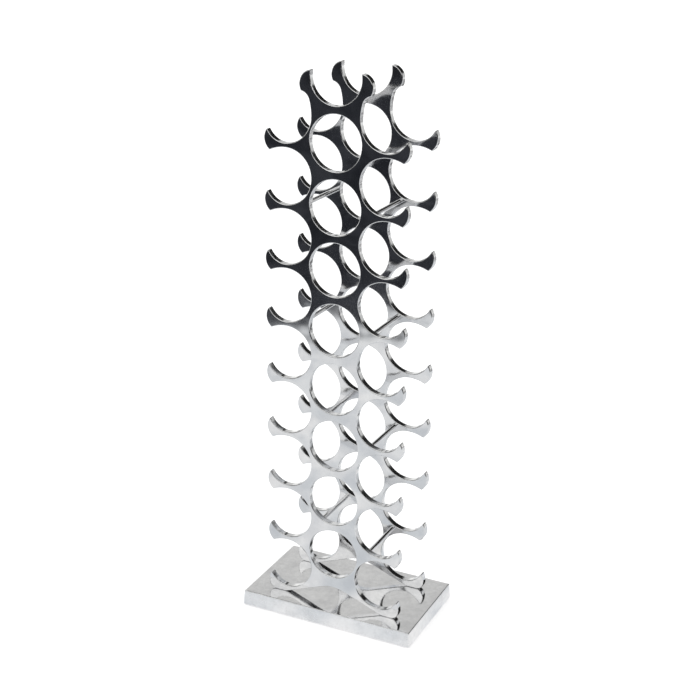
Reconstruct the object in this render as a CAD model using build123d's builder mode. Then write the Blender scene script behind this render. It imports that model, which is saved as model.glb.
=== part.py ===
from build123d import *
from math import asin, atan2, cos, degrees, radians, sin, sqrt, tan
import os

# Polished aluminium rack for 27 bottles: two cast lattice frames, one behind the other, stand on a
# heavy rectangular base and are held apart by eight tie rods. Every bottle lies along Y, neck to the
# front, in a ring or a cradle of both frames.
#
# Millimetres. X runs to the right, Y to the back and Z up. The origin is on the surface that the
# rack stands on, under the middle of the base.

# ---- driving dimensions -------------------------------------------------------------------------
arm_pitch = 100.0  # height from one side cradle to the next
hole_pitch = 103.2  # height from one centre ring to the next
hole_count = 8  # closed rings in the centre column
cradle_count = 9  # open cradles on each side
hole_r = 45.4
cradle_r = 46.4
cradle_x = 89.0  # the side cradles' centres, out from the middle
top_hole_z = 819.4  # the uppermost ring's centre, above the base top

frame_t = 12.0  # thickness of each cast frame
frame_gap = 100.0  # clear space between the two frames
rim_r = 1.4  # polished rounding of the frame's edges
tip_r = 1.5  # rounding of the fishtail corners
heel_r = 25.0  # rounding between the arch and a foot's flat underside

base_w, base_d, base_h = 321.0, 187.0, 26.0  # the base's top face and height
base_draft = 2.0  # how much further out the base's lower edge stands, each side
foot_proud = 2.0  # the rubber feet lift the base by this

rod_r = 4.0
rod_rows = (2, 4, 6, 8)  # arms, counted from the top, whose roots carry a tie rod
rod_x, rod_rise = 64.0, 3.0  # a rod's place: out from the middle, above its arm's waist

base_wall, base_plate = 10.0, 9.0  # the hollow base's sides and top
base_corner_r, base_rim_r = 3.0, 1.5
rib_t, rib_h = 8.0, 12.0
post_w = 34.0  # the corner posts that the rubber feet are screwed to
foot_pad_r, foot_pad_h = 12.0, 5.0
foot_pad_inset = 22.0  # a foot's centre, in from the base's top edges

foot_screw_x = 102.0  # where the lowest arms are bolted down
slack = 0.1  # between a fastener and the hole round it
loose = 0.4  # room round the foot screws where they pass the base and the washers

# ---- what follows from them ---------------------------------------------------------------------
base_top = foot_proud + base_h
waist = arm_pitch - 2 * cradle_r  # an arm's thinnest height, between two cradles
foot_waist = 11.7  # the lowest arm is thicker, because it carries the rack
bottom_cradle_z = foot_waist + cradle_r
frame_y = (frame_gap + frame_t) / 2  # the middle of a frame's thickness, in front of and behind y = 0
outer_y = frame_y + frame_t / 2
inner_y = frame_gap / 2


def cradle_z(j):
    """Height of side cradle j above the base top: 8 is the lowest, 0 lies beside the horns."""
    return bottom_cradle_z + (cradle_count - 1 - j) * arm_pitch


def arm_z(k):
    """Height of arm k's waist above the base top, 1 at the top and 9 at the bottom."""
    return cradle_z(k - 1) - cradle_r - waist / 2


# ---- the lattice outline ------------------------------------------------------------------------
# Half an outline is drawn on the right, from the arch under the middle, round the foot, up past the
# nine arms and over the horn, and is then mirrored.
tip_x, tip_rise = 121.8, 21.1  # an arm's upper corner, above the cradle's lowest point
heel_x, heel_drop = 117.2, 6.5  # an arm's lower corner, below the cradle's highest point
tip_bulge = 7.3  # how far the fishtail's end is curved out
arch_rise, arch_r, arch_slope = 31.3, 60.0, 21.0  # the arch between the feet
foot_flat_end, foot_end_x, foot_end_z = 112.0, 126.5, 14.5
top_cradle_r, top_cradle_z = 44.5, 922.0
horn_in_z = 930.0  # where the top cradle ends in the horn's inner corner
horn_flank_r, horn_flank_rise = 90.0, 25.8  # the horn's outer side above the cradle's middle
horn_flare_r, horn_flare_end = 18.0, 10.0  # its flare, and the slope it ends at
horn_bulge = 10.0


def bulged(start, end, out):
    """An end edge from start to end, curved out to the right by `out`."""
    span = (Vector(*end) - Vector(*start))
    middle = (Vector(*start) + Vector(*end)) * 0.5
    side = Vector(span.Y, -span.X).normalized()
    return ThreePointArc(start, middle + side * out, end)


def foot():
    """The arch under the middle and the lowest arm's rounded foot; gives its upper corner."""
    slope = radians(arch_slope)
    crown_end = (arch_r * sin(slope), arch_rise - arch_r * (1 - cos(slope)))
    crown_mid = (arch_r * sin(slope / 2), arch_rise - arch_r * (1 - cos(slope / 2)))
    heel = (crown_end[0] + crown_end[1] / tan(slope), 0.0)
    tip = (tip_x, foot_waist + tip_rise)
    ThreePointArc((0, arch_rise), crown_mid, crown_end)
    Polyline(crown_end, heel, (foot_flat_end, 0))
    TangentArc((foot_flat_end, 0), (foot_end_x, foot_end_z), tangent=(1, 0))
    TangentArc((foot_end_x, foot_end_z), tip, tangent=(0, 1))
    return tip


def cradle_floor(tip, z):
    """From an arm's upper corner in along its top to the cradle's lowest point."""
    TangentArc((cradle_x, z - cradle_r), tip, tangent=(1, 0))


def side_cradle(tip, j):
    """Cradle j and the end of the arm above it; gives that arm's upper corner."""
    z = cradle_z(j)
    cradle_floor(tip, z)
    ThreePointArc((cradle_x, z - cradle_r), (cradle_x - cradle_r, z), (cradle_x, z + cradle_r))
    heel = (heel_x, z + cradle_r - heel_drop)
    TangentArc((cradle_x, z + cradle_r), heel, tangent=(1, 0))
    next_tip = (tip_x, z + cradle_r + waist + tip_rise)
    bulged(heel, next_tip, tip_bulge)
    return next_tip


def horn(tip):
    """The uppermost side cradle and the horn beside the top cradle, down to the cradle's bottom."""
    z = cradle_z(0)
    cradle_floor(tip, z)
    wall = (cradle_x - cradle_r, z)
    corner = radians(45)
    elbow = (cradle_x - cradle_r * cos(corner), z - cradle_r * sin(corner))
    ThreePointArc((cradle_x, z - cradle_r), elbow, wall)
    lean = asin(horn_flank_rise / horn_flank_r)
    flank = JernArc(wall, (0, 1), horn_flank_r, -degrees(lean))
    flare = JernArc(flank @ 1, flank % 1, horn_flare_r, degrees(lean) + horn_flare_end - 90)
    inner_x = sqrt(top_cradle_r**2 - (horn_in_z - top_cradle_z) ** 2)
    outer = flare @ 1
    bulged((outer.X, outer.Y), (inner_x, horn_in_z), horn_bulge)
    half = (atan2(horn_in_z - top_cradle_z, inner_x) - radians(90)) / 2
    lower_mid = (top_cradle_r * cos(half), top_cradle_z + top_cradle_r * sin(half))
    ThreePointArc((inner_x, horn_in_z), lower_mid, (0, top_cradle_z - top_cradle_r))


def is_tip(vertex):
    """The sharp corners of the fishtails, of the feet and of the horns."""
    x, z = abs(vertex.X), vertex.Y
    on_arm = x > foot_flat_end and abs(z - foot_end_z) > 1 and z > 1
    on_horn = z > cradle_z(0) + horn_flank_rise + 1 and x > 1
    return on_arm or on_horn


def is_heel(vertex):
    """Where the arch meets the flat underside of a foot."""
    return abs(vertex.Y) < 0.01 and abs(vertex.X) < foot_flat_end - 1


def lattice(front_y):
    """The frame's outline with its eight rings, on the plane of its front face."""
    face = Plane(origin=(0, front_y, base_top), x_dir=(1, 0, 0), z_dir=(0, -1, 0))
    with BuildSketch(face) as outline:
        with BuildLine():
            tip = foot()
            for j in range(cradle_count - 1, 0, -1):
                tip = side_cradle(tip, j)
            horn(tip)
            mirror(about=Plane.YZ)
        make_face()
        fillet(outline.vertices().filter_by(is_tip), tip_r)
        fillet(outline.vertices().filter_by(is_heel), heel_r)
        with Locations(*[(0, top_hole_z - k * hole_pitch) for k in range(hole_count)]):
            Circle(hole_r, mode=Mode.SUBTRACT)
    return outline.sketch


# ---- where the fasteners go ---------------------------------------------------------------------
sides = {"left": -1, "right": 1}
rod_places = {(side, row): (sign * rod_x, base_top + arm_z(row) + rod_rise)
              for side, sign in sides.items() for row in rod_rows}
foot_screw_places = [(x, y) for x in (-foot_screw_x, foot_screw_x) for y in (-frame_y, frame_y)]
pad_x, pad_y = base_w / 2 - foot_pad_inset, base_d / 2 - foot_pad_inset
pad_places = {"front_left": (-pad_x, -pad_y), "front_right": (pad_x, -pad_y),
              "back_left": (-pad_x, pad_y), "back_right": (pad_x, pad_y)}


def facing_back(y):
    """One place for each tie rod's fastener, on the plane at y, with its Z to the back."""
    return [Plane(origin=(x, y, z), x_dir=(1, 0, 0), z_dir=(0, 1, 0)) for x, z in rod_places.values()]


def facing_down(places, z):
    """The same for places seen from above, at height z, with Z pointing down."""
    return [Plane(origin=(x, y, z), x_dir=(1, 0, 0), z_dir=(0, 0, -1)) for x, y in places]


# ---- fasteners, each with its seat at Z = 0 and its shank down -Z -------------------------------
m4_r, m6_r = 2.0, 3.0
stud_length, stud_tap_depth = 14.0, 8.0  # half of each stud is in the front frame
rod_tap_depth = 9.0
rod_screw_length = 19.0
foot_screw_length, foot_tap_depth = 20.0, 10.5
washer_r, washer_t = 6.0, 1.6
cap_head_r, cap_head_h = 5.0, 6.0
pad_screw_length, pad_tap_depth = 12.0, 10.0
pad_screw_sunk = 1.0  # the pad screw's head lies this deep in the rubber
point_chamfer, head_chamfer, rod_chamfer, foot_chamfer = 0.5, 0.6, 0.4, 0.8


def countersunk_screw(length, shank_r):
    """A flat-headed screw with a hexagon socket; its head's flat is at Z = 0."""
    with BuildPart() as screw:
        with BuildSketch(Plane.XZ):
            with BuildLine():
                Polyline((0, 0), (2 * shank_r, 0), (shank_r, -shank_r), (shank_r, point_chamfer - length),
                         (shank_r - point_chamfer, -length), (0, -length), close=True)
            make_face()
        revolve(axis=Axis.Z)
        with BuildSketch(Plane.XY):
            RegularPolygon(radius=0.7 * shank_r, side_count=6)
        extrude(amount=-0.6 * shank_r, mode=Mode.SUBTRACT)
    return screw.part


def cap_screw(length, shank_r, head_r, head_h):
    """A socket cap screw; the underside of its head is at Z = 0 and its head stands up."""
    with BuildPart() as screw:
        Cylinder(head_r, head_h, align=(Align.CENTER, Align.CENTER, Align.MIN))
        chamfer(screw.edges().sort_by(Axis.Z)[-1], head_chamfer)
        with BuildSketch(Plane.XY.offset(head_h)):
            RegularPolygon(radius=0.9 * shank_r, side_count=6)
        extrude(amount=-head_h / 2, mode=Mode.SUBTRACT)
        Cylinder(shank_r, length, align=(Align.CENTER, Align.CENTER, Align.MAX))
        chamfer(screw.edges().sort_by(Axis.Z)[0], point_chamfer)
    return screw.part


# ---- the base -----------------------------------------------------------------------------------
# A cast plinth, polished on top and at the sides, and hollow underneath: two ribs cross its cavity,
# and a post in each corner takes a rubber foot.
with BuildPart() as base:
    with BuildSketch(Plane.XY.offset(foot_proud)):
        RectangleRounded(base_w + 2 * base_draft, base_d + 2 * base_draft, base_corner_r)
    extrude(amount=base_h, taper=degrees(atan2(base_draft, base_h)))
    fillet(base.faces().sort_by(Axis.Z)[-1].edges(), base_rim_r)
    with BuildSketch(Plane.XY.offset(foot_proud)):
        Rectangle(base_w - 2 * base_wall, base_d - 2 * base_wall)
        Rectangle(rib_t, base_d, mode=Mode.SUBTRACT)
        with Locations(*pad_places.values()):
            Rectangle(post_w, post_w, mode=Mode.SUBTRACT)
    extrude(amount=base_h - base_plate, mode=Mode.SUBTRACT)
    with BuildSketch(Plane.XY.offset(base_top - base_plate)):
        Rectangle(base_w - 2 * base_wall, rib_t)
    extrude(amount=-rib_h)
    with BuildSketch(Plane.XY.offset(foot_proud)):
        with Locations(*pad_places.values()):
            Circle(foot_pad_r + slack)
    extrude(amount=foot_pad_h - foot_proud, mode=Mode.SUBTRACT)
    with Locations(*facing_down(pad_places.values(), foot_pad_h)):
        Hole(m4_r + slack, pad_tap_depth)
    with Locations(*facing_down(foot_screw_places, base_top - base_plate)):
        Hole(m6_r + loose, base_plate)
base.part.label = "base"

# ---- the two lattice castings -------------------------------------------------------------------
# They are cast from one pattern. The front one has blind tapped holes behind, so that its face stays
# plain; the back one is drilled through and countersunk for the tie rods' screws.
with BuildPart() as front_frame:
    extrude(to_extrude=lattice(-outer_y), amount=-frame_t)
    fillet(front_frame.faces().filter_by(Axis.Y).edges(), rim_r)
    with Locations(*facing_back(-inner_y)):
        Hole(m4_r + slack, stud_tap_depth)
    with Locations(*facing_down([p for p in foot_screw_places if p[1] < 0], base_top)):
        Hole(m6_r + slack, foot_tap_depth)
front_frame.part.label = "front_frame"

with BuildPart() as back_frame:
    extrude(to_extrude=lattice(inner_y), amount=-frame_t)
    fillet(back_frame.faces().filter_by(Axis.Y).edges(), rim_r)
    with Locations(*facing_back(outer_y)):
        CounterSinkHole(m4_r + slack, 2 * m4_r + slack, frame_t, 90)
    with Locations(*facing_down([p for p in foot_screw_places if p[1] > 0], base_top)):
        Hole(m6_r + slack, foot_tap_depth)
back_frame.part.label = "back_frame"

# ---- the tie rods -------------------------------------------------------------------------------
# Round bars, tapped at both ends: a stud goes into the front end and a screw into the back end.
tie_rods = {}
for (side, row), (x, z) in rod_places.items():
    with BuildPart() as tie_rod:
        ends = [Plane(origin=(x, y, z), x_dir=(1, 0, 0), z_dir=(0, y, 0)) for y in (-inner_y, inner_y)]
        with BuildSketch(ends[1]):
            Circle(rod_r)
        extrude(amount=-frame_gap)
        chamfer(tie_rod.edges().filter_by(GeomType.CIRCLE), rod_chamfer)
        with Locations(*ends):
            Hole(m4_r + slack, rod_tap_depth)
    tie_rod.part.label = f"tie_rod_{side}_{row}"
    tie_rods[tie_rod.part.label] = tie_rod.part

with BuildPart() as rod_studs:
    with Locations(*facing_back(-inner_y)):
        Cylinder(m4_r, stud_length)
rod_studs.part.label = "rod_studs"

with BuildPart() as rod_screws:
    with Locations(*facing_back(outer_y)):
        add(countersunk_screw(rod_screw_length, m4_r))
rod_screws.part.label = "rod_screws"

# ---- what holds the frames down, and the feet ---------------------------------------------------
washer_z = base_top - base_plate
with BuildPart() as foot_washers:
    with BuildSketch(Plane.XY.offset(washer_z)):
        with Locations(*foot_screw_places):
            Circle(washer_r)
            Circle(m6_r + loose, mode=Mode.SUBTRACT)
    extrude(amount=-washer_t)
foot_washers.part.label = "foot_washers"

with BuildPart() as foot_screws:
    with Locations(*facing_down(foot_screw_places, washer_z - washer_t)):
        add(cap_screw(foot_screw_length, m6_r, cap_head_r, cap_head_h))
foot_screws.part.label = "foot_screws"

rubber_feet = {}
for corner, (x, y) in pad_places.items():
    with BuildPart() as rubber_foot:
        with BuildSketch(Plane(origin=(x, y, 0))):
            Circle(foot_pad_r)
        extrude(amount=foot_pad_h)
        chamfer(rubber_foot.edges().sort_by(Axis.Z)[0], foot_chamfer)
        with Locations(*facing_down([(x, y)], pad_screw_sunk)):
            CounterSinkHole(m4_r + slack, 2 * m4_r + slack, foot_pad_h, 90)
        with BuildSketch(Plane(origin=(x, y, 0))):
            Circle(2 * m4_r + slack)
        extrude(amount=pad_screw_sunk, mode=Mode.SUBTRACT)
    rubber_foot.part.label = f"rubber_foot_{corner}"
    rubber_feet[rubber_foot.part.label] = rubber_foot.part

with BuildPart() as foot_pad_screws:
    with Locations(*facing_down(pad_places.values(), pad_screw_sunk)):
        add(countersunk_screw(pad_screw_length, m4_r))
foot_pad_screws.part.label = "foot_pad_screws"

# ---- one file for each piece --------------------------------------------------------------------
os.makedirs("parts", exist_ok=True)
pieces = [base.part, front_frame.part, back_frame.part, *tie_rods.values(), rod_studs.part,
          rod_screws.part, foot_washers.part, foot_screws.part, *rubber_feet.values(),
          foot_pad_screws.part]
for piece in pieces:
    export_step(piece, f"parts/{piece.label}.step")
    print(piece.label, len(piece.solids()), "solids", round(piece.volume / 1000, 1), "cm3")
whole = Compound(children=pieces).bounding_box()
print("whole:", whole.size)
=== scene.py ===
# %% [markdown]
# # A polished aluminium wine rack
#
# The rack is two cast lattice frames on a heavy base, held apart by eight tie rods. What this
# script adds is the finish: how buffed castings, drawn bar, stainless screws and rubber answer the
# light.

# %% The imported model
import math

import bmesh
import bpy
from mathutils import Matrix, Vector


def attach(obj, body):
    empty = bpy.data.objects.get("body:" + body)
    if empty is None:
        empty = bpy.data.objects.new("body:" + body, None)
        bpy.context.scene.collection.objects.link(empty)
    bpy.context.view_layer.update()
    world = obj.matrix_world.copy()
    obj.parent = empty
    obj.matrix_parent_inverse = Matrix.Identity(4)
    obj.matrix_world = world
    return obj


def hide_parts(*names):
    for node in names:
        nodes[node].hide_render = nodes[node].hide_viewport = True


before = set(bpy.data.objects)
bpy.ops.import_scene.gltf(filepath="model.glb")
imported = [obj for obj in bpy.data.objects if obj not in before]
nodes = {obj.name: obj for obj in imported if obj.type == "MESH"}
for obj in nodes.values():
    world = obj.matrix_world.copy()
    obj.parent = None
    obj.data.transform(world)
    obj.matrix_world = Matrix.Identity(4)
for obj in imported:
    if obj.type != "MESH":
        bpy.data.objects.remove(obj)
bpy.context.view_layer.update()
mm = 0.001

# %% [markdown]
# ## The camera
#
# It stands in front of the rack, to the right and above, and looks down at it through a long lens,
# so that the frames' upright lines hardly converge.

# %% Camera
camera_place = Vector((0.905, -1.898, 1.260))
camera_turn = math.radians(25.5)  # to the left
camera_tilt = math.radians(-20.24)  # down
camera_roll = math.radians(0.6)
camera_lens = 68.2  # mm

camera_data = bpy.data.cameras.new("camera")
camera_data.lens = camera_lens
camera = bpy.data.objects.new("camera", camera_data)
bpy.context.scene.collection.objects.link(camera)
upright = Matrix.Rotation(math.radians(90) + camera_tilt, 4, "X")
turned = Matrix.Rotation(camera_turn, 4, "Z") @ upright @ Matrix.Rotation(camera_roll, 4, "Z")
camera.matrix_world = Matrix.Translation(camera_place) @ turned
bpy.context.scene.camera = camera
print("camera at", [round(v, 2) for v in camera_place], "with a", camera_lens, "mm lens")

# %% [markdown]
# ## Sums in a material
#
# A procedural finish is arithmetic on patterns: noise times a strength, plus a middle value. In
# Blender each sum is a Math node with two wires, which is slow to read in code. A small class that
# holds one output socket and knows how to add, subtract and multiply lets a finish be written as a
# formula, and one more method places any other node.

# %% A wire that can be added up
class Wire:
    """One output socket of a material's nodes."""

    def __init__(self, socket):
        self.socket = socket
        self.tree = socket.id_data

    def node(self, kind, output=0, inputs=None, **settings):
        """Adds a node to this wire's material and gives one of its outputs."""
        new = self.tree.nodes.new("ShaderNode" + kind)
        for name, value in settings.items():
            setattr(new, name, value)
        for name, value in (inputs or {}).items():
            if isinstance(value, Wire):
                self.tree.links.new(value.socket, new.inputs[name])
            else:
                new.inputs[name].default_value = value
        return Wire(new.outputs[output])

    def sum(self, operation, first, second):
        """A Math node for two wires or numbers."""
        return self.node("Math", 0, {0: first, 1: second}, operation=operation)

    def __add__(self, other):
        return self.sum("ADD", self, other)

    def __radd__(self, other):
        return self.sum("ADD", other, self)

    def __sub__(self, other):
        return self.sum("SUBTRACT", self, other)

    def __rsub__(self, other):
        return self.sum("SUBTRACT", other, self)

    def __mul__(self, other):
        return self.sum("MULTIPLY", self, other)

    def __rmul__(self, other):
        return self.sum("MULTIPLY", other, self)


print("a wire adds, subtracts, multiplies, and places any other node")

# %% [markdown]
# ## Patterns, colours and bumps
#
# Every finish is made of the same few things: cloudy noise, a colour that changes with it, and a
# slightly bent normal. Noise is told how many blots go to a metre, so that it can be set against
# the size of the real part.

# %% What a finish is made of
def finish(name, **constants):
    """A new material with its constants set, its shader, and a wire of Object coordinates."""
    material = bpy.data.materials.new(name)
    material.use_nodes = True
    shader = material.node_tree.nodes["Principled BSDF"]
    for socket, value in constants.items():
        shader.inputs[socket.replace("_", " ")].default_value = value
    place = Wire(material.node_tree.nodes.new("ShaderNodeTexCoord").outputs["Object"])
    return material, shader, place


def plug(shader, **wires):
    """Lets wires drive the shader's sockets."""
    for socket, wire in wires.items():
        wire.tree.links.new(wire.socket, shader.inputs[socket.replace("_", " ")])


def noise(place, scale, detail=2.0, rough=0.5, stretch=(1, 1, 1)):
    """Cloudy noise from 0 to 1, about `scale` blots to a metre. A stretch under 1 draws it out."""
    moved = place.node("Mapping", 0, {"Vector": place, "Scale": stretch})
    inputs = {"Vector": moved, "Scale": scale, "Detail": detail, "Roughness": rough}
    return place.node("TexNoise", 0, inputs)


def ramp(wire, start, end, low=0.0, high=1.0):
    """Goes smoothly from low to high as the wire goes from start to end."""
    span = {"Value": wire, "From Min": start, "From Max": end, "To Min": low, "To Max": high}
    return wire.node("MapRange", 0, span, interpolation_type="SMOOTHSTEP")


def clouds(place, scale, detail=2.0, rough=0.5, spread=0.2):
    """Noise with more contrast: it reaches 0 and 1 at `spread` to either side of its middle."""
    return ramp(noise(place, scale, detail, rough), 0.5 - spread, 0.5 + spread)


def over(amount, below, above):
    """One colour laid over another as far as the amount, 0 to 1, says."""
    return amount.node("Mix", 2, {0: amount, 6: below, 7: above}, data_type="RGBA")


def tint(amount, dark, light):
    """A colour between dark, where the amount is 0, and light, where it is 1."""
    return over(amount, (*dark, 1), (*light, 1))


def bump(height, depth, below=None):
    """A normal bent by a height wire of 0 to 1, whose whole rise is `depth` metres."""
    inputs = {"Height": height, "Distance": depth, "Strength": 1.0}
    if below:
        inputs["Normal"] = below
    return height.node("Bump", 0, inputs)


print("patterns: noise and clouds; colours: over and tint; relief: bump")

# %% [markdown]
# ## The studio
#
# Polished metal has hardly any colour of its own: it shows what stands around it, and a white
# room alone makes it vanish. So a pale floor and a white world light the scene, and a second set
# of surfaces, which only the metal can see, gives it something to mirror. The floor and the light
# come first.

# %% Floor and light
floor_half = 12.0
world_strength = 1.12


def stage_piece(name, mesh, material, mirrors_only=False):
    """Puts a surface of the studio in place. It can be kept out of all but mirror images."""
    mesh.materials.append(material)
    card = bpy.data.objects.new(name, mesh)
    bpy.context.scene.collection.objects.link(card)
    if mirrors_only:
        card.visible_camera = False
        card.visible_diffuse = False
        card.visible_shadow = False


def flat_card(low, high, z):
    """A level rectangle between two corners, x and y each."""
    bm = bmesh.new()
    bmesh.ops.create_grid(bm, x_segments=1, y_segments=1, size=0.5)
    middle = Vector(((low[0] + high[0]) / 2, (low[1] + high[1]) / 2, z))
    bmesh.ops.scale(bm, vec=(high[0] - low[0], high[1] - low[1], 1), verts=bm.verts)
    bmesh.ops.translate(bm, vec=middle, verts=bm.verts)
    mesh = bpy.data.meshes.new("card")
    bm.to_mesh(mesh)
    bm.free()
    return mesh


floor_paint, _, _ = finish("floor_paint", Base_Color=(0.85, 0.85, 0.85, 1), Roughness=0.9,
                           Emission_Color=(1, 1, 1, 1), Emission_Strength=0.3)
stage_piece("floor", flat_card((-floor_half, -floor_half), (floor_half, floor_half), 0.0), floor_paint)

world = bpy.data.worlds.new("room")
bpy.context.scene.world = world
world.use_nodes = True
world.node_tree.nodes["Background"].inputs["Color"].default_value = (1, 1, 1, 1)
world.node_tree.nodes["Background"].inputs["Strength"].default_value = world_strength
bpy.context.scene.view_settings.view_transform = "Standard"
print("floor of", 2 * floor_half, "m, world at", world_strength)

# %% [markdown]
# ## The mirrored floor
#
# Seen from the camera, the frames' flat faces mirror the floor in front of the rack. The lower
# half of the rack finds a light grey table there. The upper half looks past the table's edge, into
# a dark room, and turns nearly black. The edge is soft, and on the right it lies further forward.
# Behind the rack the pale paper ends too, and a floor with bright and dark patches goes on.
#
# These surfaces glow instead of being lit, so their tone is exactly the one that is asked for.

# %% Table, dark room and far floor
dome_r = 7.0  # the mirrored studio's radius
table_edge_y = -1.33  # the table's front edge on the left
table_bay = 0.19  # how much further forward it is on the right
bay_start_x, bay_end_x = -0.95, -0.4
table_edge_blur = 0.05
sweep_end_y = 1.7
near_z, far_z = 0.5 * mm, 0.6 * mm  # just above the real floor
patch_spread = 0.15


def glowing(name):
    """A black material that shines. Its colour is plugged in afterwards."""
    return finish(name, Base_Color=(0, 0, 0, 1), Roughness=1.0, Specular_IOR_Level=0.0,
                  Emission_Strength=1.0)


def split(place):
    """The three coordinates of a place, each as a wire."""
    separate = place.node("SeparateXYZ", 0, {0: place}).socket.node
    return [Wire(output) for output in separate.outputs]


def patches(place, dark, light, scale):
    """A colour that drifts between two others in soft patches."""
    return tint(clouds(place, scale, spread=patch_spread), dark, light)


near_finish, near_shader, near_place = glowing("near_glow")
near_x, near_y, _ = split(near_place)
from_edge = near_y + ramp(near_x, bay_start_x, bay_end_x) * table_bay - table_edge_y
on_table = ramp(from_edge, -table_edge_blur, table_edge_blur)
table_glow = patches(near_place, (0.65, 0.68, 0.71), (0.90, 0.90, 0.90), 7.0)
room_glow = patches(near_place, (0.003, 0.004, 0.006), (0.052, 0.055, 0.064), 4.5)
plug(near_shader, Emission_Color=over(on_table, room_glow, table_glow))
near_floor = flat_card((-dome_r, -dome_r), (dome_r, sweep_end_y), near_z)
stage_piece("near_floor", near_floor, near_finish, True)

far_finish, far_shader, far_place = glowing("far_glow")
plug(far_shader, Emission_Color=patches(far_place, (0.015, 0.015, 0.018), (0.95, 0.95, 0.95), 3.0))
far_floor = flat_card((-dome_r, sweep_end_y), (dome_r, dome_r), far_z)
stage_piece("far_floor", far_floor, far_finish, True)
print("table edge at y", table_edge_y, "m on the left and", table_edge_y - table_bay, "m on the right")

# %% [markdown]
# ## The mirrored walls and lamps
#
# Rims, ring walls and cradle floors look sideways and up. A dome around the studio glows for them.
# Behind the rack it is brightest along the horizon and still pale on the wall above, where the
# light ends in a hard step. The dark above goes on up to a lamp overhead. A soft box hangs in
# front, and a pale wall stands low on the left. Hard steps from bright to dark are what make metal
# look polished. The dome is half a sphere, and its light is written in directions: right, back and
# up, each from -1 to 1.

# %% Walls and lamps
horizon_glow, wall_glow, above_wall_glow = 1.0, 0.64, 0.015
lamp_glow, side_glow, dark_glow = 1.25, 0.8, 0.012
band_middle, band_slope = 0.37, 0.35  # the bands peak left of the middle, and sink to the sides
lamp_to_right, lamp_to_back = 0.18, 0.22


def larger(wire, other):
    """The larger of a wire and another wire or number."""
    return wire.sum("MAXIMUM", wire, other)


def without_sign(wire):
    """How far a wire is from nought, to either side."""
    return wire.sum("ABSOLUTE", wire, 0.0)


dome_finish, dome_shader, dome_place = glowing("dome_glow")
right, back, up = (axis * (1 / dome_r) for axis in split(dome_place))

behind = ramp(back, -0.25, 0.25)
height = up + without_sign(right + band_middle) * band_slope
horizon = ramp(height, 0.3, 0.42, horizon_glow, wall_glow)
wall_end = ramp(height, 0.56, 0.61, 0.0, wall_glow - above_wall_glow)
back_wall = (horizon - wall_end) * behind

lamp = ramp(up - right * lamp_to_right - back * lamp_to_back, 0.93, 0.98, 0.0, lamp_glow)
soft_box = ramp(back, -0.3, -0.6) * ramp(up, 0.28, 0.4) * lamp_glow
side_wall = ramp(right, -0.45, -0.85) * ramp(up, 0.35, 0.15) * side_glow

glow = larger(back_wall, larger(lamp, soft_box))
glow = larger(larger(glow, side_wall), dark_glow)
plug(dome_shader, Emission_Color=tint(glow, (0, 0, 0), (1.0, 1.0, 0.985)))

bm = bmesh.new()
bmesh.ops.create_uvsphere(bm, u_segments=64, v_segments=32, radius=dome_r)
bmesh.ops.bisect_plane(bm, geom=bm.verts[:] + bm.edges[:] + bm.faces[:], plane_co=(0, 0, 0),
                       plane_no=(0, 0, 1), clear_inner=True)
for face in bm.faces:
    face.smooth = True
dome_mesh = bpy.data.meshes.new("dome")
bm.to_mesh(dome_mesh)
bm.free()
stage_piece("dome", dome_mesh, dome_finish, True)
print("dome of", dome_r, "m with", len(dome_mesh.polygons), "faces")

# %% [markdown]
# ## Smooth castings
#
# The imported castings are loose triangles, so a rounded rim is a row of small flats, and a mirror
# finish shows every one. Each casting is copied, its triangles are joined, and its faces are
# shaded smooth, with sharp edges kept only where the real part has a corner. The Weighted Normal
# modifier lets the large flat faces weigh most in the shared normals, so they stay flat up to the
# rim.
#
# Each face also notes which way it points. The finishes read that, because a wall inside a ring
# and the underside of the base were not polished like the faces.

# %% Joined and shaded copies
root = "root"
corner = math.radians(35)
same_point = 0.002 * mm


def joined(node, piece_name):
    """A smooth-shaded copy of a CAD node, which it stands for."""
    bm = bmesh.new()
    bm.from_mesh(nodes[node].data)
    bmesh.ops.remove_doubles(bm, verts=bm.verts, dist=same_point)
    edge_wall = bm.faces.layers.float.new("edge_wall")
    upright_side = bm.faces.layers.float.new("upright_side")
    underside = bm.faces.layers.float.new("underside")
    for face in bm.faces:
        face.smooth = True
        face[edge_wall] = 1 - abs(face.normal.y)
        face[upright_side] = 1 - abs(face.normal.z)
        face[underside] = max(0.0, -face.normal.z)
    for edge in bm.edges:
        edge.smooth = edge.calc_face_angle(math.pi) < corner
    mesh = bpy.data.meshes.new(piece_name)
    bm.to_mesh(mesh)
    bm.free()
    piece = bpy.data.objects.new(piece_name, mesh)
    bpy.context.scene.collection.objects.link(piece)
    weighted = piece.modifiers.new("flat faces first", "WEIGHTED_NORMAL")
    weighted.mode = "FACE_AREA_WITH_ANGLE"
    weighted.keep_sharp = True
    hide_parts(node)
    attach(piece, root)
    print(piece_name, len(mesh.polygons), "faces,", len(mesh.vertices), "points")
    return piece


front_lattice = joined("front_frame", "front_lattice")
back_lattice = joined("back_frame", "back_lattice")
plinth = joined("base", "plinth")

# %% [markdown]
# ## Buffed cast aluminium
#
# A lattice casting is ground flat on its faces and then buffed on a wheel. The face is nearly a
# mirror, but it keeps long shallow waves from the grinding and a haze of fine wheel marks. The
# walls inside the rings and cradles are buffed by hand with a bob, along the curve, and stay a
# little duller. The patterns read Object coordinates, so they sit still on the casting.

# %% The lattice finish
mark_depth = 0.004 * mm
lattice_wave_depth = 0.9 * mm
along_z = (1.0, 1.0, 0.16)


def wheel_marks(place, stretch):
    """Coarse and fine polishing marks, 0 to 1, drawn out along the axis with the least stretch."""
    coarse = noise(place, 420.0, 3.0, 0.65, stretch)
    fine = noise(place, 1500.0, 2.0, 0.6, stretch)
    return coarse * 0.7 + fine * 0.3


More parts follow.
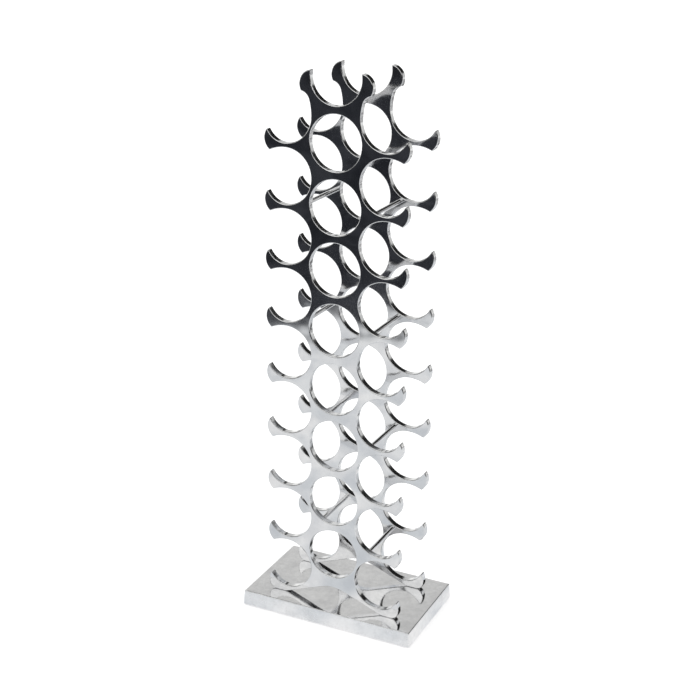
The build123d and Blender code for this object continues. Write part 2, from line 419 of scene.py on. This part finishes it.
def facing(place, name):
    """A number that each face of a casting carries, read as a wire."""
    return place.node("Attribute", 2, attribute_name=name)


def buffed_lattice():
    material, shader, place = finish("buffed_casting", Metallic=1.0)
    wave = noise(place, 14.0, 2.0)
    haze = noise(place, 38.0, 3.0, 0.6)
    cloud = clouds(place, 22.0, 4.0, 0.6)
    marks = wheel_marks(place, along_z)
    walls = ramp(facing(place, "edge_wall"), 0.2, 0.9)
    plug(shader, Base_Color=tint(cloud, (0.75, 0.755, 0.77), (0.88, 0.88, 0.88)),
         Roughness=0.035 + haze * 0.05 + marks * 0.04 + walls * 0.04,
         Normal=bump(marks, mark_depth, bump(wave, lattice_wave_depth)))
    return material


lattice_finish = buffed_lattice()
for piece in (front_lattice, back_lattice):
    piece.data.materials.append(lattice_finish)
    print(piece.name, "has", lattice_finish.name)

# %% [markdown]
# ## The base
#
# The base is buffed on top like the frames, with a faint mottle left by the casting's grain. Its
# sides were ground on a belt, so their marks run lengthwise, and its rim was only broken with fine
# paper, which leaves a soft satin line. Underneath, the casting is left rough.

# %% The base finish
base_wave_depth = 0.4 * mm
belt_depth = 0.05 * mm
skin_depth = 0.25 * mm
along_x = (0.12, 1.0, 1.0)
level = (0.14, 0.14, 1.0)
rough_grey = (0.55, 0.55, 0.56, 1)


def buffed_base():
    material, shader, place = finish("buffed_base", Metallic=1.0)
    wave = noise(place, 12.0, 1.0)
    haze = clouds(place, 26.0, 4.0, 0.6)
    mottle = clouds(place, 85.0, 4.0, 0.7)
    grain = noise(place, 160.0, 4.0, 0.7, level)
    marks = wheel_marks(place, along_x)
    skin = noise(place, 700.0, 3.0, 0.7)

    slope = facing(place, "upright_side")  # 0 on top, about 0.9 on the sides
    side = ramp(slope, 0.02, 0.3)
    rim = ramp(slope, 0.01, 0.05) * ramp(slope, 0.8, 0.65)
    under = ramp(facing(place, "underside"), 0.4, 0.8)

    # Haze and mottle vary the tone at random; the sides are painted lighter than the top, which is
    # painted light on one side of the same metal.
    mottle_and_painted_side_light = tint(haze * 0.4 + mottle * 0.4 + side * 0.4, (0.72, 0.72, 0.73), (0.98, 0.98, 0.985))
    smooth = bump(marks, mark_depth, bump(wave, base_wave_depth))
    ground = bump(grain * side, belt_depth, smooth)
    plug(shader, Base_Color=over(under, mottle_and_painted_side_light, rough_grey),
         Roughness=0.05 + haze * 0.05 + side * (0.14 + grain * 0.16) + rim * 0.3 + under * 0.4,
         Normal=bump(skin * under, skin_depth, ground))
    return material


plinth.data.materials.append(buffed_base())
print(plinth.name, "has", plinth.data.materials[0].name)

# %% [markdown]
# ## Drawn bar, screws and rubber
#
# The tie rods are bright drawn bar: fine lines run along them. The screws are plain stainless
# steel, turned, and the feet are moulded black rubber with a fine matt grain. These parts are
# small and simple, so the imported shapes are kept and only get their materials.

# %% Small parts
line_depth = 0.006 * mm
turned_depth = 0.01 * mm
rubber_depth = 0.05 * mm
along_y = (1.0, 0.02, 1.0)


def drawn_bar():
    material, shader, place = finish("drawn_bar", Metallic=1.0)
    lines = noise(place, 900.0, 3.0, 0.6, along_y)
    cloud = noise(place, 30.0, 2.0)
    plug(shader, Base_Color=tint(cloud, (0.74, 0.74, 0.75), (0.84, 0.84, 0.85)),
         Roughness=0.09 + lines * 0.08, Normal=bump(lines, line_depth))
    return material


def stainless():
    material, shader, place = finish("stainless", Metallic=1.0)
    fine = noise(place, 1400.0, 2.0, 0.6)
    cloud = noise(place, 120.0, 2.0)
    plug(shader, Base_Color=tint(cloud, (0.50, 0.49, 0.48), (0.60, 0.59, 0.58)),
         Roughness=0.22 + fine * 0.12, Normal=bump(fine, turned_depth))
    return material


def rubber():
    material, shader, place = finish("foot_rubber", Specular_IOR_Level=0.35)
    grain = noise(place, 2600.0, 3.0, 0.7)
    dust = noise(place, 60.0, 3.0)
    plug(shader, Base_Color=tint(dust, (0.018, 0.018, 0.019), (0.045, 0.044, 0.042)),
         Roughness=0.58 + dust * 0.2, Normal=bump(grain, rubber_depth))
    return material


small_finishes = {"tie_rod": drawn_bar(), "rubber": rubber()}
screw_finish = stainless()
for name, node in nodes.items():
    kind = screw_finish
    for start, other in small_finishes.items():
        if name.startswith(start):
            kind = other
    node.data.materials.clear()
    node.data.materials.append(kind)
    print(name, "has", kind.name)
